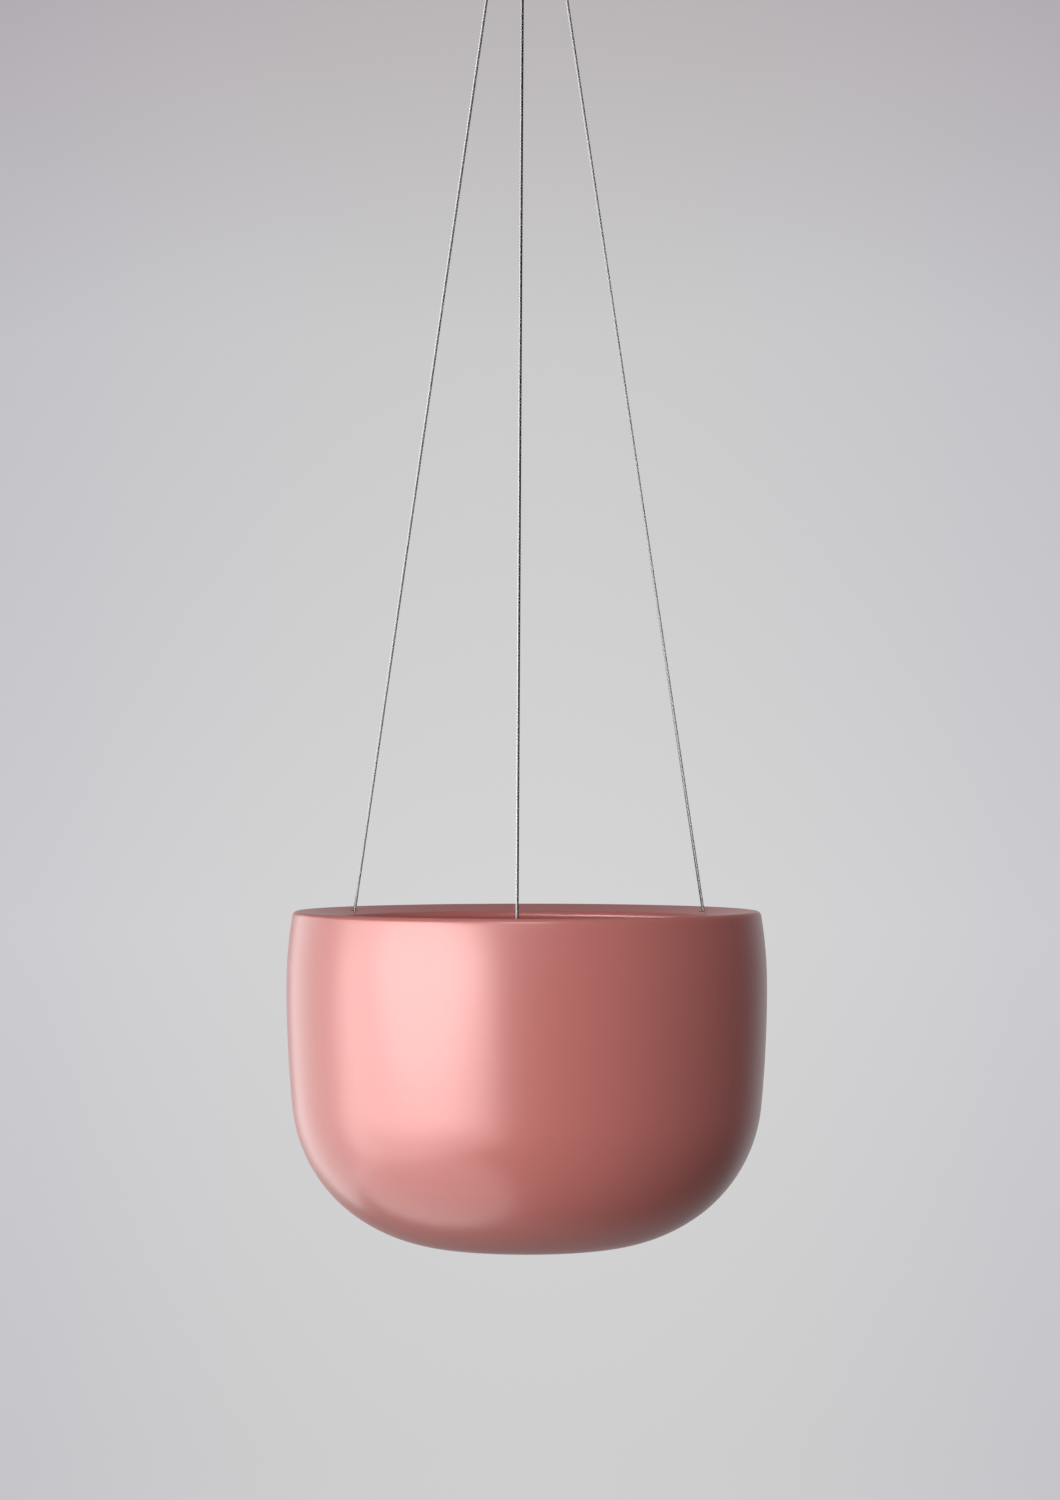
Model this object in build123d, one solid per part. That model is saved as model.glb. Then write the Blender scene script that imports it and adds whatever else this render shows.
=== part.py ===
from build123d import *
from math import asin, atan2, cos, degrees, hypot, pi, radians, sin, sqrt
import os

# A glazed bowl that hangs by three steel wire ropes from a ring and an S-hook.
# The origin is the point inside the hook's upper bend that rests on the support.
# +Z is up, +X is to the right and -Y is toward the viewer. Sizes are in mm and angles in degrees.

# The bowl's outside, from the crest of its rim down
bowl_height = 146.0
widest_radius = 104.4
widest_depth = 32.4
shoulder_bend = 187.0
side_bend = 546.0
side_turn = 5.5
belly_turn = 55.8
foot_radius = 30.8

# The bowl's wall and foot
wall = 5.0
foot_width = 6.0
foot_recess = 1.2

# The rim: a rounded crest, and a flange that slopes down to the mouth
flange_reach = 21.9
flange_thickness = 4.5
rim_rounding = 2.2
inner_rounding = 2.8
hole_inset = 8.8
hole_diameter = 3.6
hole_rounding = 0.5
hole_angles = {"left": 147.5, "front": -92.5, "right": 30.5}

# The wire ropes, from the flange up to the ring
rope_diameter = 1.3
rope_height = 484.0
rope_tail = 1.2
eye_offsets = {"left": -4.65, "front": -1.4, "right": 4.25}
eye_length = 11.0
eye_gap = 0.25
neck_bend = 6.5

# The fittings on the ropes
grip_gap = 0.02
ferrule_length = 8.0
ferrule_wall = 0.9
ferrule_rounding = 0.3
dent_radius = 1.1
dent_depth = 0.3
dent_spacing = 3.0
stop_length = 6.0
stop_diameter = 4.2
stop_rounding = 0.5
washer_diameter = 6.0
washer_hole = 2.0
washer_thickness = 0.8
seat_gap = 0.05

# The ring and the S-hook
ring_wire = 3.0
ring_radius = 13.5
hook_wire = 3.0
upper_bend = 5.5
lower_bend = 4.5
hook_turn = 250.0
link_gap = 0.2

# The mouth and the circle of the holes, in from the bowl's widest circle
mouth_radius = widest_radius - flange_reach
hole_circle = mouth_radius + hole_inset

# Heights of the hook, the ring and the bowl below the support
upper_centre_z = hook_wire / 2 - upper_bend
neck_z = upper_centre_z - upper_bend
hook_pivot_z = neck_z - 2 * lower_bend
ring_centre_z = hook_pivot_z + (hook_wire + ring_wire) / 2 + link_gap - ring_radius
crest_z = ring_centre_z - ring_radius - rope_height

# The eye goes round the ring's wire, and its two ends lie side by side in the ferrule
eye_radius = (ring_wire + rope_diameter) / 2 + eye_gap
rope_pitch = rope_diameter + 2 * grip_gap

# The flange is square to a rope that leans from the hole circle to the ring
eye_spread = sum(abs(offset) for offset in eye_offsets.values()) / len(eye_offsets)
flange_slope = degrees(atan2(hole_circle - eye_spread, rope_height))
outward = Vector(cos(radians(flange_slope)), sin(radians(flange_slope)))
upward = Vector(-outward.Y, outward.X)


def reach(start, direction, centre, distance):
    """The point on the line from start, the way of direction, that is distance away from centre."""
    gap = start - centre
    half = gap.dot(direction)
    return start + direction * (sqrt(half**2 - gap.dot(gap) + distance**2) - half)


# Points of the bowl's section, each a radius and a height above the crest
shoulder_centre = Vector(widest_radius - shoulder_bend, -widest_depth)
crest_centre = reach(Vector(0, -rim_rounding), Vector(1, 0), shoulder_centre, shoulder_bend - rim_rounding)
flange_middle = crest_centre + upward * (rim_rounding - flange_thickness / 2)


def on_flange(radius):
    """The point half way through the flange at a radius."""
    return flange_middle + outward * ((radius - flange_middle.X) / outward.X)


def turned(point, angle):
    """A point of the bowl's section, turned about the bowl's axis to an angle."""
    return Vector(point.X * cos(radians(angle)), point.X * sin(radians(angle)), point.Y)


def route(start, heading, steps):
    """Tangent edges in a plane: a number is a straight run, a pair an arc's radius and turn to the left."""
    edges = []
    for step in steps:
        if isinstance(step, tuple):
            edges.append(JernArc(start, heading, *step))
        else:
            edges.append(Line(start, start + heading * step))
        start, heading = edges[-1] @ 1, edges[-1] % 1
    return edges


def rod(edges, diameter):
    """A round rod along tangent edges."""
    section = Plane(edges[0] @ 0, z_dir=edges[0] % 0) * Circle(diameter / 2)
    return sweep(section, path=Wire(edges))


def belly_bends():
    """The radii of the belly's two arcs, which come down to the foot at the bowl's full height."""
    first = radians(side_turn)
    second = radians(belly_turn)
    run = widest_radius - side_bend * (1 - cos(first)) - foot_radius
    drop = bowl_height - widest_depth - side_bend * sin(first)
    upper_run, upper_drop = cos(first) - cos(second), sin(second) - sin(first)
    lower_run, lower_drop = cos(second), 1 - sin(second)
    scale = upper_run * lower_drop - lower_run * upper_drop
    return (run * lower_drop - lower_run * drop) / scale, (upper_run * drop - run * upper_drop) / scale


def bowl_section():
    """Half of the bowl's section, with its crest at height 0."""
    belly, base = belly_bends()
    crest_arm = crest_centre - shoulder_centre
    crest_lean = degrees(atan2(crest_arm.Y, crest_arm.X))
    outside = route(
        Vector(crest_centre.X, 0),
        Vector(1, 0),
        [
            (rim_rounding, crest_lean - 90),
            (shoulder_bend, -crest_lean),
            (side_bend, -side_turn),
            (belly, side_turn - belly_turn),
            (base, belly_turn - 90),
        ],
    )
    corner_line = flange_middle - upward * (flange_thickness / 2 + inner_rounding)
    corner_reach = shoulder_bend - wall - inner_rounding
    corner_arm = reach(corner_line, outward, shoulder_centre, corner_reach) - shoulder_centre
    corner_lean = degrees(atan2(corner_arm.Y, corner_arm.X))
    inside = route(
        Vector(foot_radius, wall - bowl_height),
        Vector(1, 0),
        [
            (base - wall, 90 - belly_turn),
            (belly - wall, belly_turn - side_turn),
            (side_bend - wall, side_turn),
            (shoulder_bend - wall, corner_lean),
            (inner_rounding, 90 - corner_lean + flange_slope),
        ],
    )
    lip = on_flange(mouth_radius + flange_thickness / 2) - upward * (flange_thickness / 2)
    nose = JernArc(lip, -outward, flange_thickness / 2, -180)
    crest = JernArc(crest_centre + upward * rim_rounding, outward, rim_rounding, -flange_slope)
    recess = foot_radius - foot_width
    foot = Polyline(
        outside[-1] @ 1,
        (recess, -bowl_height),
        (recess - foot_recess, foot_recess - bowl_height),
        (0, foot_recess - bowl_height),
        (0, wall - bowl_height),
        inside[0] @ 0,
    )
    flange = [Line(inside[-1] @ 1, nose @ 0), nose, Line(nose @ 1, crest @ 0), crest]
    return make_face([*outside, *foot.edges(), *inside, *flange])


def make_bowl():
    """The turned bowl, with a hole square to the flange for each rope, softened at its upper edge."""
    bowl = revolve(Plane.XZ * bowl_section(), Axis.Z)
    for angle in hole_angles.values():
        hole = Plane(turned(on_flange(hole_circle), angle), z_dir=turned(upward, angle))
        bowl -= hole * Cylinder(hole_diameter / 2, 2 * flange_thickness)
    upper_edges = bowl.edges().filter_by(GeomType.BSPLINE).sort_by(Axis.Z)[-len(hole_angles) :]
    return Pos(0, 0, crest_z) * fillet(upper_edges, hole_rounding)


def rope_line(side):
    """A rope's plane, from the middle of the ring's wire, and the rope's length from ring to flange."""
    offset = eye_offsets[side]
    rise = sqrt(ring_radius**2 - offset**2)
    eye = Vector(offset, 0, ring_centre_z - rise)
    hole = turned(on_flange(hole_circle), hole_angles[side]) + Vector(0, 0, crest_z)
    up = (eye - hole).normalized()
    along_ring = Vector(rise, 0, offset) / ring_radius
    across = (along_ring - up * along_ring.dot(up)).normalized()
    return Plane(eye, x_dir=up.cross(across), z_dir=across), (eye - hole).length


def neck_turn(offset):
    """How far a rope bends at the neck of its eye, coming from a line that is offset from the ring's wire."""
    arm = hypot(eye_length, neck_bend)
    return degrees(asin((eye_radius - offset + neck_bend) / arm) - atan2(neck_bend, eye_length))


def neck_run(turn):
    """The straight run of an eye between its neck and the arc round the ring."""
    return eye_length * cos(radians(turn)) - neck_bend * sin(radians(turn))


def make_rope(side):
    """A rope from its tail under the stop, up through the flange and the ferrule, round the ring and back."""
    plane, length = rope_line(side)
    below = flange_thickness / 2 + washer_thickness + stop_length + 2 * seat_gap + rope_tail
    standing, returning = neck_turn(0), neck_turn(rope_pitch)
    edges = route(
        Vector(0, -length - below),
        Vector(0, 1),
        [
            length + below - eye_length,
            (neck_bend, -standing),
            neck_run(standing),
            (eye_radius, 180 + standing + returning),
            neck_run(returning),
            (neck_bend, -returning),
            ferrule_length + rope_tail,
        ],
    )
    rope = rod(edges, rope_diameter)
    path_length = sum(edge.length for edge in edges)
    share = rope.volume / (pi * rope_diameter**2 / 4 * path_length)
    bends = f"bends {neck_bend:.2f} and {eye_radius:.2f}"
    print(f"rope {side}: length {path_length:.1f}, {bends}, volume over section times length {share:.4f}")
    return plane * rope


def make_ferrule(side):
    """The oval ferrule, pressed over both ends of a rope below its eye, with the dents of the press."""
    plane, _ = rope_line(side)
    thickness = rope_diameter + 2 * ferrule_wall
    sleeve = extrude(SlotCenterToCenter(rope_pitch, thickness), ferrule_length)
    sleeve = fillet(sleeve.faces().sort_by(Axis.Z)[0].edges(), ferrule_rounding)
    sleeve = fillet(sleeve.faces().sort_by(Axis.Z)[-1].edges(), ferrule_rounding)
    sleeve -= extrude(SlotCenterToCenter(rope_pitch, rope_diameter + 2 * grip_gap), ferrule_length)
    dent = Rot(0, 90, 0) * Cylinder(dent_radius, rope_pitch + thickness)
    for row in (-dent_spacing / 2, dent_spacing / 2):
        for face in (-1, 1):
            sunk = face * (thickness / 2 + dent_radius - dent_depth)
            sleeve -= Pos(0, sunk, ferrule_length / 2 + row) * dent
    seat = Plane((-rope_pitch / 2, -eye_length - ferrule_length), x_dir=(1, 0, 0), z_dir=(0, 1, 0))
    return plane * (seat * sleeve)


def make_washer(side):
    """The washer that spreads a stop's load under the flange."""
    plane, length = rope_line(side)
    disc = Cylinder(washer_diameter / 2, washer_thickness) - Cylinder(washer_hole / 2, washer_thickness)
    middle = length + flange_thickness / 2 + seat_gap + washer_thickness / 2
    return plane * (Plane((0, -middle), z_dir=(0, 1, 0)) * disc)


def make_stop(side):
    """The round stop crimped on a rope's lower end, with the waist that the crimp leaves."""
    plane, length = rope_line(side)
    sleeve = Cylinder(stop_diameter / 2, stop_length)
    sleeve = fillet(sleeve.edges().filter_by(GeomType.CIRCLE), stop_rounding)
    sleeve -= Cylinder(rope_diameter / 2 + grip_gap, stop_length)
    sleeve -= Torus(stop_diameter / 2 + dent_radius - dent_depth, dent_radius)
    middle = length + flange_thickness / 2 + washer_thickness + 2 * seat_gap + stop_length / 2
    return plane * (Plane((0, -middle), z_dir=(0, 1, 0)) * sleeve)


def make_ring():
    """The closed ring, in the lower bend of the hook."""
    return Pos(0, 0, ring_centre_z) * Rot(90, 0, 0) * Torus(ring_radius, ring_wire / 2)


def make_hook():
    """The S-hook: two bends of one wire that meet at its neck, with rounded tips."""
    tip = radians(hook_turn - 90)
    start = Vector(upper_bend * cos(tip), upper_centre_z + upper_bend * sin(tip))
    edges = route(start, Vector(sin(tip), -cos(tip)), [(upper_bend, -hook_turn), (lower_bend, hook_turn)])
    hook = rod(edges, hook_wire)
    for end in (start, edges[-1] @ 1):
        hook += Pos(end) * Sphere(hook_wire / 2)
    return Plane.YZ * hook


parts = {"bowl": make_bowl(), "hanging_ring": make_ring(), "s_hook": make_hook()}
for side in hole_angles:
    parts[f"wire_{side}"] = make_rope(side)
    parts[f"eye_ferrule_{side}"] = make_ferrule(side)
    parts[f"washer_{side}"] = make_washer(side)
    parts[f"wire_stop_{side}"] = make_stop(side)

os.makedirs("parts", exist_ok=True)
for name, part in parts.items():
    export_step(part, f"parts/{name}.step")
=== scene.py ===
from math import asin, atan2, ceil, cos, degrees, hypot, pi, radians, sin, sqrt, tan

import bmesh
import bpy
from mathutils import Matrix, Vector


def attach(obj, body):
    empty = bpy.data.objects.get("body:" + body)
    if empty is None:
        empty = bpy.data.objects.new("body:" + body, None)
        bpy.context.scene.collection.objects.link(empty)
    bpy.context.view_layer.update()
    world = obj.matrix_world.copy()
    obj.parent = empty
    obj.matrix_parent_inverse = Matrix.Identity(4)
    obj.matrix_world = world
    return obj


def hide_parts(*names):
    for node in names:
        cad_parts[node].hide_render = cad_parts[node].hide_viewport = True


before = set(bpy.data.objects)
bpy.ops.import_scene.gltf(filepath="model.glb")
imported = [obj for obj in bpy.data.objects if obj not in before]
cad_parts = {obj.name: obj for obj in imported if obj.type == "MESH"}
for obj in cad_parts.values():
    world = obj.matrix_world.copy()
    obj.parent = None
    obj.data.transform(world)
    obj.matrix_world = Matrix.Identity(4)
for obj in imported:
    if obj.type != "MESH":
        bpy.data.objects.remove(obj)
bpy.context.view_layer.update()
scene = bpy.context.scene
MM = 0.001

# The bowl, in mm and degrees: its outside from the crest of the rim down
BOWL_HEIGHT = 146.0
WIDEST_RADIUS = 104.4
WIDEST_DEPTH = 32.4
SHOULDER_BEND = 187.0
SIDE_BEND = 546.0
SIDE_TURN = 5.5
BELLY_TURN = 55.8
FOOT_RADIUS = 30.8
WALL = 5.0
FOOT_WIDTH = 6.0
FOOT_RECESS = 1.2

# Its rim: a rounded crest, a flange that slopes down to the mouth, and a hole for each rope
FLANGE_REACH = 21.9
FLANGE_THICKNESS = 4.5
HALF_FLANGE = FLANGE_THICKNESS / 2
RIM_ROUNDING = 2.2
INNER_ROUNDING = 2.8
MOUTH_RADIUS = WIDEST_RADIUS - FLANGE_REACH
HOLE_INSET = 8.8
HOLE_CIRCLE = MOUTH_RADIUS + HOLE_INSET
HOLE_DIAMETER = 3.6
HOLE_ROUNDING = 0.5
HOLE_ANGLES = {"left": 147.5, "front": -92.5, "right": 30.5}

# The ropes, in mm, with a washer and a stop under the flange and an eye round the ring's wire
ROPE_DIAMETER = 1.3
ROPE_HEIGHT = 484.0
ROPE_TAIL = 1.2
ROPE_LAY = 8.6
STRANDS = 6
STRAND_RADIUS = ROPE_DIAMETER / 6
WASHER_THICKNESS = 0.8
STOP_LENGTH = 6.0
SEAT_GAP = 0.05
RING_WIRE = 3.0
EYE_GAP = 0.25
EYE_RADIUS = (RING_WIRE + ROPE_DIAMETER) / 2 + EYE_GAP
EYE_OFFSETS = {"left": -4.65, "front": -1.4, "right": 4.25}
EYE_LENGTH = 11.0
NECK_BEND = 6.5
FERRULE_LENGTH = 8.0
GRIP_GAP = 0.02
ROPE_PITCH = ROPE_DIAMETER + 2 * GRIP_GAP

# The ring, and the bowl's crest below it, in mm from the hook's support
RING_RADIUS = 13.5
RING_CENTRE_Z = -28.8
CREST_Z = RING_CENTRE_Z - RING_RADIUS - ROPE_HEIGHT

# How finely the meshes are divided: distances in mm, and the bowl's columns in degrees
COLUMN_STEP = 1.25
OUTSIDE_STEP = 1.6
INSIDE_STEP = 1.8
FLAT_STEP = 2.5
FOOT_STEP = 1.5
RECESS_STEP = 0.6
FLANGE_STEP = 1.0
ROUNDING_STEP = 0.4
AXIS_RADIUS = 1.0
STEPS_A_LAY = 18
FEWEST_ARC_STEPS = 6

# Edges stay crisp where their faces meet at more than this, in degrees
SHARP_EDGE = 35.0
SHARP_STRAND = 75.0

# The square patch round each hole: cells along a side, corners round it and points round the hole
PATCH = 3.2
PATCH_MARGIN = 0.4
CELLS = 4
HALF_CELLS = CELLS // 2
CORNERS = 4 * CELLS
HOLE_POINTS = 2 * CORNERS
ROWS = [PATCH * (2 * n / CELLS - 1) for n in range(CELLS + 1)]
ROUNDING_TURNS = (22.5, 45, 67.5, 90)

# The corners of a rope's line round the ring's wire, and where its outline's points lie on a strand
EYE_CORNERS = 7
STRAND_LEANS = (-30, -25, -15, -5, 5, 15, 25)

# The camera, level and in front of the planter, in metres
camera_data = bpy.data.cameras.new("camera")
camera_data.sensor_fit = "AUTO"
camera_data.sensor_width = 36.0
camera_data.lens = 117.1
camera_data.clip_start = 0.05
camera_data.clip_end = 60.0
camera = bpy.data.objects.new("camera", camera_data)
scene.collection.objects.link(camera)
camera.location = (0.0014, -2.122, -0.45635)
camera.rotation_euler = (pi / 2, 0.0, 0.0)
scene.camera = camera


class Wire:
    """A node's socket. Arithmetic on it adds Math nodes to its material."""

    def __init__(self, finish, socket):
        self.finish = finish
        self.socket = socket

    def math(self, operation, first, second=None):
        values = {0: first} if second is None else {0: first, 1: second}
        return self.finish.node("ShaderNodeMath", {"operation": operation}, values)

    def __add__(self, other):
        return self.math("ADD", self, other)

    def __radd__(self, other):
        return self.math("ADD", other, self)

    def __sub__(self, other):
        return self.math("SUBTRACT", self, other)

    def __rsub__(self, other):
        return self.math("SUBTRACT", other, self)

    def __mul__(self, other):
        return self.math("MULTIPLY", self, other)

    def __rmul__(self, other):
        return self.math("MULTIPLY", other, self)

    def __truediv__(self, other):
        return self.math("DIVIDE", self, other)

    def __pow__(self, other):
        return self.math("POWER", self, other)

    def sine(self):
        return self.math("SINE", self)

    def ramp(self, low, high, to_low=0.0, to_high=1.0, interpolation="SMOOTHSTEP"):
        """Goes from to_low to to_high as the value goes from low to high, and stays there."""
        settings = {"interpolation_type": interpolation}
        values = {"Value": self, "From Min": low, "From Max": high, "To Min": to_low, "To Max": to_high}
        return self.finish.node("ShaderNodeMapRange", settings, values)


class Finish:
    """A node tree, of a material or of the world."""

    def __init__(self, owner):
        self.owner = owner
        owner.use_nodes = True
        self.tree = owner.node_tree
        self.tree.nodes.clear()

    def node(self, kind, settings=None, values=None, out=0):
        """Adds a node with its settings and the values or links of its sockets, and gives one output."""
        made = self.tree.nodes.new(kind)
        for name, value in (settings or {}).items():
            if name == "stops":
                while len(made.color_ramp.elements) < len(value):
                    made.color_ramp.elements.new(0.5)
                for stop, (place, colour) in zip(made.color_ramp.elements, value):
                    stop.position = place
                    stop.color = colour
            else:
                setattr(made, name, value)
        for name, value in (values or {}).items():
            socket = self.find(made.inputs, name)
            if isinstance(value, Wire):
                self.tree.links.new(value.socket, socket)
            else:
                socket.default_value = value
        return Wire(self, self.find(made.outputs, out)) if made.outputs else None

    def find(self, sockets, name):
        """The socket of a number, or the enabled one of a name."""
        if isinstance(name, int):
            return sockets[name]
        for socket in sockets:
            if socket.enabled and name in (socket.identifier, socket.name):
                return socket
        raise KeyError(f"{sockets[0].node.bl_idname} has no socket {name}")

    def mix(self, factor, first, second, blend="MIX"):
        """A colour between two, or a blend of them."""
        settings = {"data_type": "RGBA", "blend_type": blend}
        values = {"Factor_Float": factor, "A_Color": first, "B_Color": second}
        return self.node("ShaderNodeMix", settings, values, "Result_Color")

    def noise(self, place, scale, detail=2.0, roughness=0.5):
        values = {"Vector": place, "Scale": scale, "Detail": detail, "Roughness": roughness}
        return self.node("ShaderNodeTexNoise", None, values, "Fac")

    def place(self):
        return self.node("ShaderNodeTexCoord", None, None, "Object")

    def outputs(self, kind, values, names):
        """Several outputs of one new node."""
        made = self.node(kind, None, values).socket.node
        return [Wire(self, self.find(made.outputs, name)) for name in names]

    def axes(self, place):
        return self.outputs("ShaderNodeSeparateXYZ", {"Vector": place}, ("X", "Y", "Z"))

    def bump(self, height, distance=1.0, strength=1.0, **values):
        values |= {"Height": height, "Distance": distance, "Strength": strength}
        return self.node("ShaderNodeBump", None, values)

    def surface(self, **values):
        """The material's shader."""
        named = {name.replace("_", " "): value for name, value in values.items()}
        shader = self.node("ShaderNodeBsdfPrincipled", None, named)
        self.node("ShaderNodeOutputMaterial", None, {"Surface": shader})
        return self.owner


def new_finish(name):
    return Finish(bpy.data.materials.new(name))


# The glaze's colours, its roughness, and its edges and waves in metres
GLAZE = (0.60, 0.189, 0.1665, 1)
THIN_GLAZE = (0.70, 0.33, 0.27, 1)
PALE_SPECK = (0.80, 0.62, 0.58, 1)
DARK_CLAY = (0.60, 0.50, 0.41, 1)
LIGHT_CLAY = (0.74, 0.64, 0.54, 1)
GLAZE_ROUGHNESS = 0.275
CLAY_ROUGHNESS = GLAZE_ROUGHNESS + 0.5
THIN_WIDTH = 0.0072
THIN_HEIGHT = 0.004
WIPED_HEIGHT = 0.0012
WIPE_WANDER = 0.0012
CLAY_GRAIN = 0.00004
RIPPLE_HEIGHT = 0.00004
THROWING_PITCH = 0.0062
THROWING_HEIGHT = 0.0000012


def glaze():
    """A satin dusty rose glaze with a few pale specks, thinner on the rim's crest and wiped off the
    foot to bare clay."""
    coat = new_finish("rose_glaze")
    place = coat.place()
    x, y, z = coat.axes(place)
    around = (x * x + y * y) ** 0.5
    height = z - (CREST_Z - BOWL_HEIGHT) * MM

    cloud = coat.noise(place, 11.0, 3.0)
    grain = coat.noise(place, 620.0, 3.0, 0.6)
    cells = coat.node("ShaderNodeTexVoronoi", None, {"Vector": place, "Scale": 46.0}, "Distance")
    few = coat.noise(place, 9.0, 1.0).ramp(0.6, 0.66)
    colour = coat.mix(cells.ramp(0.016, 0.03, 0.5, 0.0) * few, GLAZE, PALE_SPECK)

    near_rim = (around - (WIDEST_RADIUS * MM - THIN_WIDTH)).ramp(0.0, 0.002)
    crest = near_rim * height.ramp(BOWL_HEIGHT * MM - THIN_HEIGHT, BOWL_HEIGHT * MM)
    colour = coat.mix(crest * (0.04 + cloud * 0.1), colour, THIN_GLAZE)

    wander = (coat.noise(place, 60.0, 2.0) - 0.5) * WIPE_WANDER
    foot_ring = (around - (FOOT_RADIUS - FOOT_WIDTH - 0.4) * MM).ramp(0.0, 0.0002)
    bare = (height + wander).ramp(0.00075, WIPED_HEIGHT, 1.0, 0.0) * foot_ring
    colour = coat.mix(bare, colour, coat.mix(grain, DARK_CLAY, LIGHT_CLAY))
    roughness = GLAZE_ROUGHNESS + bare * (CLAY_ROUGHNESS - GLAZE_ROUGHNESS)

    ripple = coat.noise(place, 42.0, 2.0, 0.4) * RIPPLE_HEIGHT
    throwing = (height * (2 * pi / THROWING_PITCH)).sine() * around.ramp(0.05, 0.09) * THROWING_HEIGHT
    wavy = coat.bump(ripple + throwing, strength=0.5)
    rough_clay = coat.bump(bare * grain * CLAY_GRAIN, Normal=wavy)
    return coat.surface(Base_Color=colour, Roughness=roughness, IOR=1.5, Normal=rough_clay)


def metal(name, base, roughness):
    """Bare metal with faint drawing marks."""
    bright = new_finish(name)
    marks = bright.noise(bright.place(), 900.0, 3.0)
    dark, light = [[channel * share for channel in base] + [1] for share in (0.92, 1.06)]
    return bright.surface(
        Base_Color=bright.mix(marks, dark, light),
        Metallic=1.0,
        Roughness=roughness + (marks - 0.5) * 0.12,
        Normal=bright.bump(marks, 0.00001, 0.5),
    )


glaze_finish = glaze()
hook_finish = metal("hook_steel", (0.56, 0.56, 0.57), 0.24)
ring_finish = metal("ring_steel", (0.56, 0.56, 0.57), 0.24)
rope_finish = metal("rope_steel", (0.21, 0.21, 0.215), 0.27)
ferrule_finish = metal("ferrule_aluminium", (0.72, 0.72, 0.73), 0.36)
washer_finish = metal("washer_steel", (0.58, 0.58, 0.59), 0.30)


def new_mesh(name, points, faces, finish, body, sharp=SHARP_EDGE):
    """A smooth mesh object, in metres, with edges sharper than an angle kept crisp. Points that no
    face uses are left out."""
    mesh = bpy.data.meshes.new(name)
    mesh.from_pydata(points, [], faces)
    made = bmesh.new()
    made.from_mesh(mesh)
    loose = [point for point in made.verts if not point.link_faces]
    bmesh.ops.delete(made, geom=loose, context="VERTS")
    bmesh.ops.recalc_face_normals(made, faces=made.faces)
    for face in made.faces:
        face.smooth = True
    for edge in made.edges:
        edge.smooth = len(edge.link_faces) == 2 and edge.calc_face_angle(0.0) < radians(sharp)
    made.to_mesh(mesh)
    made.free()
    mesh.materials.append(finish)
    piece = bpy.data.objects.new(name, mesh)
    scene.collection.objects.link(piece)
    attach(piece, body)
    return piece


def rows_of_faces(rows, wide):
    """The faces of a closed tube of rows of points, with a flat face at each end."""
    faces = []
    for row in range(rows - 1):
        for n in range(wide):
            m = (n + 1) % wide
            faces.append((row * wide + n, row * wide + m, (row + 1) * wide + m, (row + 1) * wide + n))
    faces.append(range(wide - 1, -1, -1))
    faces.append(range((rows - 1) * wide, rows * wide))
    return faces


def left_of(heading):
    return Vector((-heading.y, heading.x))


def trace(start, heading, steps, spacing):
    """Points along tangent arcs, each a radius and a turn to the left in degrees, after the start."""
    points = []
    for radius, turn in steps:
        count = max(FEWEST_ARC_STEPS, ceil(radius * radians(abs(turn)) / spacing))
        side = left_of(heading) * (1 if turn > 0 else -1)
        centre = start + side * radius
        for n in range(1, count + 1):
            points.append(centre + Matrix.Rotation(radians(turn) * n / count, 2) @ (start - centre))
        start = points[-1]
        heading = Matrix.Rotation(radians(turn), 2) @ heading
    return points


def along(first, last, spacing):
    """Points on a straight line after its first, up to its last."""
    count = max(1, ceil((last - first).length / spacing))
    return [first.lerp(last, n / count) for n in range(1, count + 1)]


def reach(start, direction, centre, distance):
    """The point on the line from start, the way of direction, that is distance away from centre."""
    gap = start - centre
    half = gap.dot(direction)
    return start + direction * (sqrt(half**2 - gap.dot(gap) + distance**2) - half)


# The bowl's section, as a radius and a height above the crest: its flange is square to a rope that
# leans from the circle of the holes to the ring
eye_spread = sum(abs(offset) for offset in EYE_OFFSETS.values()) / len(EYE_OFFSETS)
slope = atan2(HOLE_CIRCLE - eye_spread, ROPE_HEIGHT)
outward = Vector((cos(slope), sin(slope)))
upward = left_of(outward)
level = Vector((1, 0))
shoulder_centre = Vector((WIDEST_RADIUS - SHOULDER_BEND, -WIDEST_DEPTH))
crest_centre = reach(Vector((0, -RIM_ROUNDING)), level, shoulder_centre, SHOULDER_BEND - RIM_ROUNDING)
flange_middle = crest_centre + upward * (RIM_ROUNDING - HALF_FLANGE)


def on_flange(radius):
    """The point half way through the flange at a radius."""
    return flange_middle + outward * ((radius - flange_middle.x) / outward.x)


hole_middle = on_flange(HOLE_CIRCLE)
crest_top = Vector((0, 0, CREST_Z))


def belly_bends():
    """The radii of the belly's two arcs, which come down to the foot at the bowl's full height."""
    first, second = radians(SIDE_TURN), radians(BELLY_TURN)
    run = WIDEST_RADIUS - SIDE_BEND * (1 - cos(first)) - FOOT_RADIUS
    drop = BOWL_HEIGHT - WIDEST_DEPTH - SIDE_BEND * sin(first)
    upper_run, upper_drop = cos(first) - cos(second), sin(second) - sin(first)
    lower_run, lower_drop = cos(second), 1 - sin(second)
    scale = upper_run * lower_drop - lower_run * upper_drop
    return (run * lower_drop - lower_run * drop) / scale, (upper_run * drop - run * upper_drop) / scale


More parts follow.
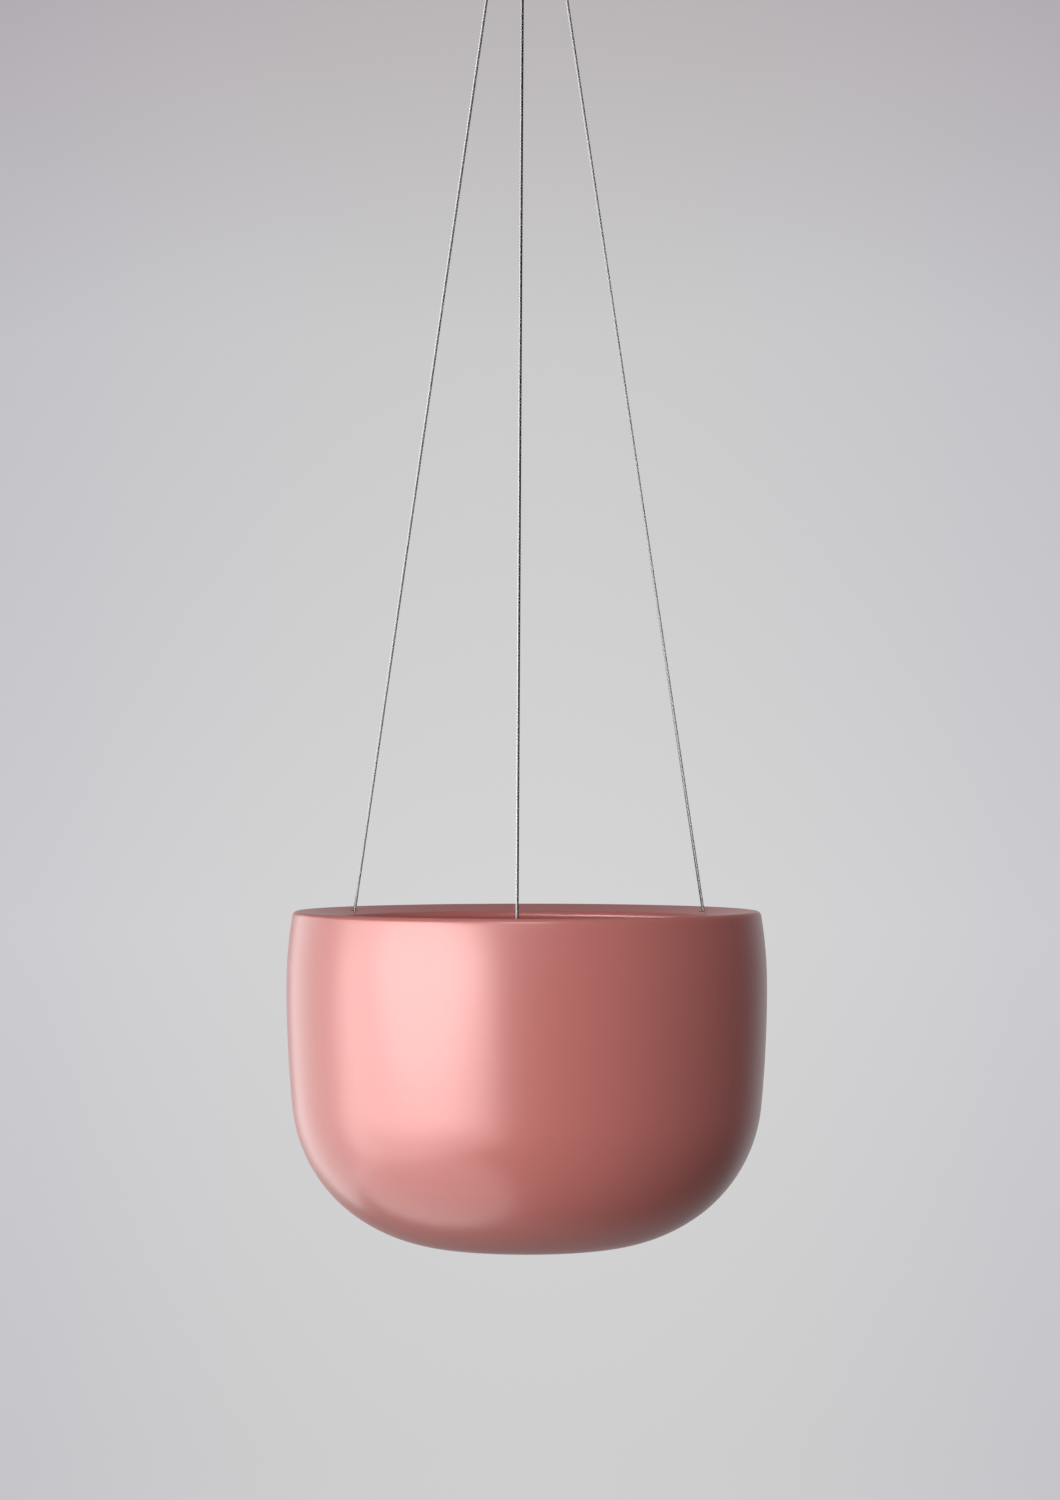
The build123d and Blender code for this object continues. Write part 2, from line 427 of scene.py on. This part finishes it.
def outer_profile():
    """From the crest of the rim down the outside to the middle of the foot's recess."""
    belly, base = belly_bends()
    arm = crest_centre - shoulder_centre
    lean = degrees(atan2(arm.y, arm.x))
    recess = FOOT_RADIUS - FOOT_WIDTH
    bends = [
        (RIM_ROUNDING, lean - 90),
        (SHOULDER_BEND, -lean),
        (SIDE_BEND, -SIDE_TURN),
        (belly, SIDE_TURN - BELLY_TURN),
        (base, BELLY_TURN - 90),
    ]
    points = [Vector((crest_centre.x, 0))]
    points += trace(points[0], level, bends, OUTSIDE_STEP)
    points += along(points[-1], Vector((recess, -BOWL_HEIGHT)), FOOT_STEP)
    points += along(points[-1], Vector((recess - FOOT_RECESS, FOOT_RECESS - BOWL_HEIGHT)), RECESS_STEP)
    points += along(points[-1], Vector((AXIS_RADIUS, FOOT_RECESS - BOWL_HEIGHT)), FLAT_STEP)
    return points


def inner_profile():
    """From the middle of the floor up the inside, and round the corner under the flange."""
    belly, base = belly_bends()
    corner_line = flange_middle - upward * (HALF_FLANGE + INNER_ROUNDING)
    corner = reach(corner_line, outward, shoulder_centre, SHOULDER_BEND - WALL - INNER_ROUNDING)
    arm = corner - shoulder_centre
    lean = degrees(atan2(arm.y, arm.x))
    bends = [
        (base - WALL, 90 - BELLY_TURN),
        (belly - WALL, BELLY_TURN - SIDE_TURN),
        (SIDE_BEND - WALL, SIDE_TURN),
        (SHOULDER_BEND - WALL, lean),
        (INNER_ROUNDING, 90 - lean + degrees(slope)),
    ]
    points = [Vector((AXIS_RADIUS, WALL - BOWL_HEIGHT))]
    points += along(points[0], Vector((FOOT_RADIUS, WALL - BOWL_HEIGHT)), FLAT_STEP)
    points += trace(points[-1], level, bends, INSIDE_STEP)[:-1]
    return points, corner + upward * INNER_ROUNDING


def bowl_profile():
    """The closed section as radius and height above the crest, and the first rows of the patches
    under and on the flange."""
    top_patch = [hole_middle + upward * HALF_FLANGE + outward * row for row in ROWS]
    under_patch = [hole_middle - upward * HALF_FLANGE + outward * row for row in reversed(ROWS)]
    nose_centre = on_flange(MOUTH_RADIUS + HALF_FLANGE)
    nose_top = nose_centre + upward * HALF_FLANGE
    nose_under = nose_centre - upward * HALF_FLANGE
    crest_start = crest_centre + upward * RIM_ROUNDING

    section, corner_end = inner_profile()
    section.append(corner_end)
    section += along(corner_end, under_patch[0], FLANGE_STEP)
    under_row = len(section) - 1
    section += under_patch[1:]
    section += along(under_patch[-1], nose_under, FLANGE_STEP)
    section += trace(nose_under, -outward, [(HALF_FLANGE, -180)], ROUNDING_STEP)[:-1]
    section.append(nose_top)
    section += along(nose_top, top_patch[0], FLANGE_STEP)
    top_row = len(section) - 1
    section += top_patch[1:]
    section += along(top_patch[-1], crest_start, FLANGE_STEP)
    section += trace(crest_start, outward, [(RIM_ROUNDING, -degrees(slope))], ROUNDING_STEP)[:-1]
    return section + outer_profile(), under_row, top_row


def bowl_columns():
    """The angles of the bowl's columns, with a column through each hole."""
    holes = sorted(angle % 360 for angle in HOLE_ANGLES.values())
    columns, at_holes = [], []
    for hole, following in zip(holes, holes[1:] + [holes[0] + 360]):
        count = round((following - hole) / COLUMN_STEP)
        at_holes.append(len(columns))
        columns += [hole + (following - hole) * n / count for n in range(count)]
    return columns, at_holes


def turned(point, angle):
    """A point of the bowl's section, turned about the bowl's axis to an angle."""
    return Vector((point.x * cos(radians(angle)), point.x * sin(radians(angle)), point.y))


def on_face(point, side):
    """The point moved up or down to the flange's top or underside, where side is 1 or -1."""
    height = on_flange(hypot(point.x, point.y)).y + side * HALF_FLANGE / cos(slope)
    return Vector((point.x, point.y, height))


def patch_edge(top):
    """The patch's corners in order round it, as rows and columns from its first row and its hole."""
    rows = range(CELLS + 1) if top else range(CELLS, -1, -1)
    edge = [(rows[0], column) for column in range(-HALF_CELLS, HALF_CELLS)]
    edge += [(row, HALF_CELLS) for row in rows[:-1]]
    edge += [(rows[-1], column) for column in range(HALF_CELLS, -HALF_CELLS, -1)]
    return edge + [(row, -HALF_CELLS) for row in rows[:0:-1]]


def make_hole(points, top_edge, under_edge, angle):
    """Adds the points of one softened hole, and gives the faces between it and its patches' corners."""
    middle = turned(hole_middle, angle)
    out, up = turned(outward, angle), turned(upward, angle)
    across = up.cross(out)
    turns = []
    for n in range(CORNERS):
        gaps = [points[top_edge[k]] - middle for k in (n, (n + 1) % CORNERS)]
        first, second = [atan2(gap.dot(across), gap.dot(out)) for gap in gaps]
        if abs(second - first) > pi:
            second += 2 * pi if second < first else -2 * pi
        turns += [first, (first + second) / 2]

    def circle(radius, side, depth=0.0):
        start = len(points)
        for turn in turns:
            spoke = out * (radius * cos(turn)) + across * (radius * sin(turn))
            points.append(on_face(middle + spoke + up * (side * HALF_FLANGE), side) - up * depth)
        return range(start, len(points))

    bore = HOLE_DIAMETER / 2
    loops = [circle(PATCH - PATCH_MARGIN, 1), circle(bore + HOLE_ROUNDING, 1)]
    for turn in ROUNDING_TURNS:
        inward = HOLE_ROUNDING * sin(radians(turn))
        depth = HOLE_ROUNDING * (1 - cos(radians(turn)))
        loops.append(circle(bore + HOLE_ROUNDING - inward, 1, depth))
    loops += [circle(bore, -1), circle(PATCH - PATCH_MARGIN, -1)]
    faces = []
    for first, second in zip(loops, loops[1:]):
        for n in range(HOLE_POINTS):
            m = (n + 1) % HOLE_POINTS
            faces.append((first[n], first[m], second[m], second[n]))
    for edge, loop in ((top_edge, loops[0]), (under_edge, loops[-1])):
        for n in range(CORNERS):
            m = (n + 1) % CORNERS
            faces.append((edge[n], loop[2 * n], loop[2 * n + 1]))
            faces.append((edge[n], loop[2 * n + 1], edge[m]))
            faces.append((edge[m], loop[2 * n + 1], loop[2 * m]))
    return faces


def make_bowl():
    """The turned bowl, with a round hole in a square patch of the flange for each rope."""
    section, under_row, top_row = bowl_profile()
    columns, at_holes = bowl_columns()
    wide = len(columns)
    points = [turned(point, angle) for point in section for angle in columns]

    def at(row, column):
        return row * wide + column % wide

    cut = {
        (start + n, (hole + m) % wide)
        for start in (under_row, top_row)
        for hole in at_holes
        for n in range(CELLS)
        for m in range(-HALF_CELLS, HALF_CELLS)
    }
    faces = [
        (at(row, column), at(row, column + 1), at(row + 1, column + 1), at(row + 1, column))
        for row in range(len(section) - 1)
        for column in range(wide)
        if (row, column) not in cut
    ]
    for row in (0, len(section) - 1):
        faces.append([at(row, column) for column in range(wide)])
    for hole in at_holes:
        top_edge = [at(top_row + row, hole + column) for row, column in patch_edge(True)]
        under_edge = [at(under_row + row, hole + column) for row, column in patch_edge(False)]
        faces += make_hole(points, top_edge, under_edge, columns[hole])

    points = [(point + crest_top) * MM for point in points]
    bowl = new_mesh("glazed_bowl", points, faces, glaze_finish, "hanging_set")
    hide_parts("bowl")


def rope_frame(side):
    """The middle of the ring's wire, the ways across and up the rope, and its length to the flange."""
    offset = EYE_OFFSETS[side]
    rise = sqrt(RING_RADIUS**2 - offset**2)
    eye = Vector((offset, 0, RING_CENTRE_Z - rise))
    hole = turned(hole_middle, HOLE_ANGLES[side]) + crest_top
    up = (eye - hole).normalized()
    along_ring = Vector((rise, 0, offset)) / RING_RADIUS
    facing = (along_ring - up * along_ring.dot(up)).normalized()
    return eye, up.cross(facing), up, (eye - hole).length


def neck_turn(offset):
    """How far a rope bends at its neck to meet the arc round the ring, from a line offset from it."""
    arm = hypot(EYE_LENGTH, NECK_BEND)
    return asin((EYE_RADIUS - offset + NECK_BEND) / arm) - atan2(NECK_BEND, EYE_LENGTH)


def rope_route(length):
    """The corners of a rope's line: x across it and y up it, from the middle of the ring's wire."""
    standing, returning = neck_turn(0), neck_turn(ROPE_PITCH)
    stack = WASHER_THICKNESS + STOP_LENGTH + 2 * SEAT_GAP
    bottom = (0, -length - HALF_FLANGE - stack - ROPE_TAIL)
    below_ferrule = (0, -EYE_LENGTH - 6 * ROPE_DIAMETER)
    neck = Vector((0, NECK_BEND * tan(standing / 2) - EYE_LENGTH))
    back = Vector((-ROPE_PITCH, NECK_BEND * tan(returning / 2) - EYE_LENGTH))
    end = (-ROPE_PITCH, -EYE_LENGTH - FERRULE_LENGTH - ROPE_TAIL)

    turn = (pi + standing + returning) / EYE_CORNERS
    wide = EYE_RADIUS / cos(turn / 2)
    spacing = 2 * EYE_RADIUS * tan(turn / 2)
    leans = [turn * (n + 0.5) - standing for n in range(EYE_CORNERS)]
    bends = [Vector((wide * cos(lean), wide * sin(lean))) for lean in leans]
    before = bends[0] - (bends[0] - neck).normalized() * spacing
    after = bends[-1] + (back - bends[-1]).normalized() * spacing
    return [bottom, below_ferrule, neck, before, *bends, after, back, end]


def rope_line(side):
    """The rope's smooth line, as points in metres."""
    eye, across, up, length = rope_frame(side)
    corners = [(eye + across * x + up * y) * MM for x, y in rope_route(length)]
    curve = bpy.data.curves.new(f"line_{side}", "CURVE")
    curve.dimensions = "3D"
    curve.resolution_u = 24
    spline = curve.splines.new("NURBS")
    spline.points.add(len(corners) - 1)
    for point, corner in zip(spline.points, corners):
        point.co = (*corner, 1.0)
    spline.order_u = 3
    spline.use_endpoint_u = True
    carrier = bpy.data.objects.new(f"line_{side}", curve)
    scene.collection.objects.link(carrier)
    bpy.context.view_layer.update()
    line = bpy.data.meshes.new_from_object(carrier)
    points = [vertex.co.copy() for vertex in line.vertices]
    bpy.data.objects.remove(carrier)
    bpy.data.meshes.remove(line)
    bpy.data.curves.remove(curve)
    return points


def evenly(points, spacing):
    """Points at an even spacing along a line, with their distance from its start."""
    distances = [0.0]
    for a, b in zip(points, points[1:]):
        distances.append(distances[-1] + (b - a).length)
    count = ceil(distances[-1] / spacing)
    found, leg = [], 0
    for n in range(count + 1):
        distance = distances[-1] * n / count
        while leg < len(points) - 2 and distances[leg + 1] < distance:
            leg += 1
        share = (distance - distances[leg]) / (distances[leg + 1] - distances[leg])
        found.append((points[leg].lerp(points[leg + 1], min(1.0, share)), distance))
    return found


def strand_section():
    """The rope's outline, as distances and angles round it: round strands side by side."""
    strand = STRAND_RADIUS * MM
    middle = 2 * strand
    outline = []
    for n in range(STRANDS):
        for lean in STRAND_LEANS:
            beside = middle * sin(radians(lean))
            distance = middle * cos(radians(lean)) + sqrt(max(0.0, strand**2 - beside**2))
            outline.append((distance, radians(360 / STRANDS * n + lean)))
    return outline


def make_rope(side):
    """A taut rope of twisted strands, swept along its line with a frame that doesn't roll."""
    line = rope_line(side)
    steps = evenly(line, ROPE_LAY * MM / STEPS_A_LAY)
    outline = strand_section()
    points = []
    heading = (steps[1][0] - steps[0][0]).normalized()
    across = heading.orthogonal().normalized()
    for n, (place, distance) in enumerate(steps):
        before, after = steps[max(0, n - 1)][0], steps[min(len(steps) - 1, n + 1)][0]
        following = (after - before).normalized()
        across = heading.rotation_difference(following) @ across
        heading = following
        across = (across - heading * across.dot(heading)).normalized()
        beside = heading.cross(across)
        twist = 2 * pi * distance / (ROPE_LAY * MM)
        for radius, angle in outline:
            spoke = across * cos(angle + twist) + beside * sin(angle + twist)
            points.append(place + spoke * radius)
    faces = rows_of_faces(len(steps), len(outline))
    rope = new_mesh(f"rope_{side}", points, faces, rope_finish, "hanging_set", sharp=SHARP_STRAND)
    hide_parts(f"wire_{side}")


node_finishes = {"bowl": glaze_finish, "s_hook": hook_finish, "hanging_ring": ring_finish}
make_bowl()
for side in HOLE_ANGLES:
    make_rope(side)
    node_finishes[f"wire_{side}"] = rope_finish
    node_finishes[f"wire_stop_{side}"] = ferrule_finish
    node_finishes[f"eye_ferrule_{side}"] = ferrule_finish
    node_finishes[f"washer_{side}"] = washer_finish
for name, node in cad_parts.items():
    node.data.materials.clear()
    node.data.materials.append(node_finishes[name])

# The studio, in metres: a round sweep of pale paper, and soft lamps round the bowl
SWEEP_RADIUS = 4.5
SWEEP_BEND = 1.3
SWEEP_STEP = 0.12
SWEEP_COLUMNS = 96
SWEEP_AXIS = 0.02
FLOOR_Z = -2.4
CEILING_Z = 4.6
LAMPS_AIM = Vector((0, 0, -0.58))
MATT_HEIGHT = 0.9
MATT_SHARE = 0.4

# The paper's glow, with painted shade: greys from a low height on the wall to a high one, darker high
# up, and its tints, one of them darker towards the sides
GREYS_LOW_Z = -1.4
GREYS_HIGH_Z = 0.6
WALL_GLOW_SHADES = [
    (0.0, (0.62, 0.62, 0.62, 1)),
    (0.35, (0.665, 0.665, 0.665, 1)),
    (0.75, (0.60, 0.60, 0.605, 1)),
    (1.0, (0.485, 0.452, 0.463, 1)),
]
SIDE_SHADE_TINT = (0.905, 0.897, 0.95, 1)
SOFT_TINT = (1.0, 0.96, 1.06, 1)
SHINE_TINT = (1.0, 0.985, 1.0, 1)
BLACK = (0, 0, 0, 1)
WHITE = (1, 1, 1, 1)


def backdrop_finish():
    """Pale paper that glows where the camera looks, and near the floor also takes shadows. Glossy
    surfaces see it bright behind the planter and dark in front and above, and it lights matt ones a
    little from behind and above."""
    paper = new_finish("backdrop")
    x, y, z = paper.axes(paper.place())
    # Painted shade: the glow grows darker high on the wall and towards the sides
    greys = {"Fac": z.ramp(GREYS_LOW_Z, GREYS_HIGH_Z, interpolation="LINEAR")}
    wall = paper.node("ShaderNodeValToRGB", {"stops": WALL_GLOW_SHADES}, greys, "Color")
    off = ((x * x) * 2.04).ramp(0.0, 1.2, 0.0, 1.2, interpolation="LINEAR")
    pale = paper.mix(1.0, wall, paper.mix(off, WHITE, SIDE_SHADE_TINT), "MULTIPLY")

    behind = y / (x * x + y * y + 0.01) ** 0.5
    low = z.ramp(FLOOR_Z, -1.5, 0.5, 1.0)
    high = z.ramp(-0.2, 1.5, 1.0, 0.2)
    shine = paper.mix(behind.ramp(0.5, 0.97, 0.09, 0.6) * high * low, BLACK, SHINE_TINT)
    ambient = z.ramp(-1.9, 1.6, 0.01, 0.2) + behind.ramp(-0.3, 0.7, 0.0, 0.22)
    soft = paper.mix(ambient, BLACK, SOFT_TINT)

    rays = ("Is Camera Ray", "Is Glossy Ray", "Is Transmission Ray")
    camera_ray, glossy, through = paper.outputs("ShaderNodeLightPath", None, rays)
    shade = paper.mix(camera_ray + through, paper.mix(glossy, soft, shine), pale)
    glow = paper.node("ShaderNodeEmission", None, {"Color": shade, "Strength": 1.0})
    matt = paper.node("ShaderNodeBsdfDiffuse", None, {"Color": (0.8, 0.79, 0.8, 1)})
    share = camera_ray * z.ramp(FLOOR_Z, FLOOR_Z + MATT_HEIGHT, MATT_SHARE, 0.0)
    both = paper.node("ShaderNodeMixShader", None, {0: share, 1: glow, 2: matt})
    paper.node("ShaderNodeOutputMaterial", None, {"Surface": both})
    paper.owner.cycles.emission_sampling = "NONE"
    return paper.owner


def make_backdrop():
    """A closed round sweep: the floor, a curve up to the wall, the wall and a domed ceiling."""
    section = [Vector((SWEEP_AXIS, FLOOR_Z)), Vector((SWEEP_RADIUS - SWEEP_BEND, FLOOR_Z))]
    section += trace(section[-1], level, [(SWEEP_BEND, 90)], SWEEP_STEP)
    section.append(Vector((SWEEP_RADIUS, CEILING_Z - SWEEP_BEND)))
    section += trace(section[-1], Vector((0, 1)), [(SWEEP_BEND, 90)], SWEEP_STEP)
    section.append(Vector((SWEEP_AXIS, CEILING_Z)))
    angles = [360 * n / SWEEP_COLUMNS for n in range(SWEEP_COLUMNS)]
    points = [turned(point, angle) for point in section for angle in angles]
    mesh = bpy.data.meshes.new("backdrop")
    mesh.from_pydata(points, [], rows_of_faces(len(section), SWEEP_COLUMNS))
    mesh.shade_smooth()
    mesh.materials.append(backdrop_finish())
    sweep = bpy.data.objects.new("backdrop", mesh)
    scene.collection.objects.link(sweep)


def softbox(name, azimuth, elevation, distance, wide, high, glow, seen=False, shape="RECTANGLE"):
    """A soft lamp that faces the bowl, from degrees to the left of the camera's side and degrees up.
    It lights matt surfaces, or is only seen in glossy ones. The glow is its brightness."""
    lamp = bpy.data.lights.new(name, "AREA")
    lamp.shape = shape
    lamp.size, lamp.size_y = wide, high
    lamp.energy = glow * pi * wide * high
    body = bpy.data.objects.new(name, lamp)
    scene.collection.objects.link(body)
    side, up = radians(azimuth), radians(elevation)
    away = Vector((-sin(side) * cos(up), -cos(side) * cos(up), sin(up)))
    body.location = LAMPS_AIM + away * distance
    body.rotation_mode = "QUATERNION"
    body.rotation_quaternion = away.to_track_quat("Z", "Y")
    body.visible_camera = False
    body.visible_glossy = seen
    body.visible_diffuse = not seen


make_backdrop()
softbox("left_lamp", 33, 0, 1.6, 1.9, 1.0, glow=2.75)
softbox("front_lamp", 8, 26, 2.0, 1.5, 1.3, glow=1.85)
softbox("back_lamp", 172, 18, 2.0, 1.6, 1.2, glow=1.7)
softbox("low_lamp", 50, -45, 1.5, 1.4, 1.2, glow=0.85)
softbox("left_sheen", 57, -5, 1.6, 3.0, 2.0, glow=3.7, seen=True)
softbox("left_glow", 54, 0, 1.59, 2.5, 1.6, glow=2.4, seen=True, shape="ELLIPSE")
softbox("left_highlight", 48, 5, 1.58, 1.6, 1.0, glow=3.3, seen=True, shape="ELLIPSE")
softbox("side_sheen", 118, -8, 1.6, 2.0, 1.8, glow=1.9, seen=True)
softbox("low_sheen", 80, -58, 1.5, 2.2, 1.5, glow=1.7, seen=True, shape="ELLIPSE")
softbox("front_sheen", 3, 33, 2.0, 0.8, 0.25, glow=14.0, seen=True)

scene.world = bpy.data.worlds.new("studio")
air = Finish(scene.world)
grey = air.node("ShaderNodeBackground", None, {"Color": (0.55, 0.54, 0.55, 1), "Strength": 0.4})
air.node("ShaderNodeOutputWorld", None, {"Surface": grey})

scene.view_settings.view_transform = "Standard"
